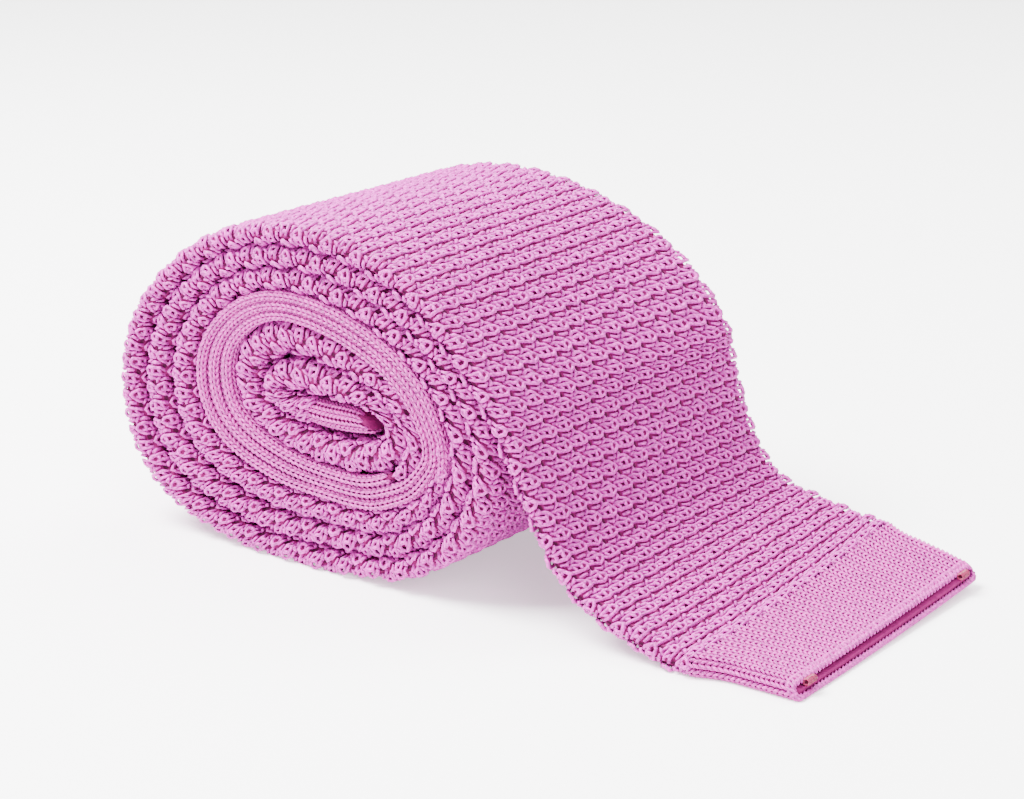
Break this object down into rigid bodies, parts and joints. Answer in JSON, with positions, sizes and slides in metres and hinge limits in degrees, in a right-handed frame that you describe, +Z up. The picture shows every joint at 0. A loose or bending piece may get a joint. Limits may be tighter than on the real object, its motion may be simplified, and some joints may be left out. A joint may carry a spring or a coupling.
{
  "type": "rolled knit necktie",
  "caption": "Square-ended tubular knit necktie, rolled up from its tail on a table, its textured front blade sloping off the roll to a plain open end band.",
  "frame": {"origin": "under the middle of the whole rolled tie, on the table it lies on", "axes": "+Z up from the table; +X along the free blade towards its open end; +Y across the cloth, from the near side folds to the far ones"},
  "size_m": [0.1424, 0.064, 0.0607],
  "materials": {
    "textured_knit": "silk-like pink yarn, open textured knit with rows of eyelets",
    "plain_knit": "the same pink yarn in fine plain knit",
    "tack_thread": "bright pink sewing thread, satin"
  },
  "bodies": {
    "root": {"front_blade": "textured_knit", "front_end_band": "plain_knit", "neckband": "plain_knit", "tail_blade": "textured_knit", "tail_end_band": "plain_knit", "near_corner_tack": "tack_thread", "far_corner_tack": "tack_thread"}
  },
  "joints": []
}
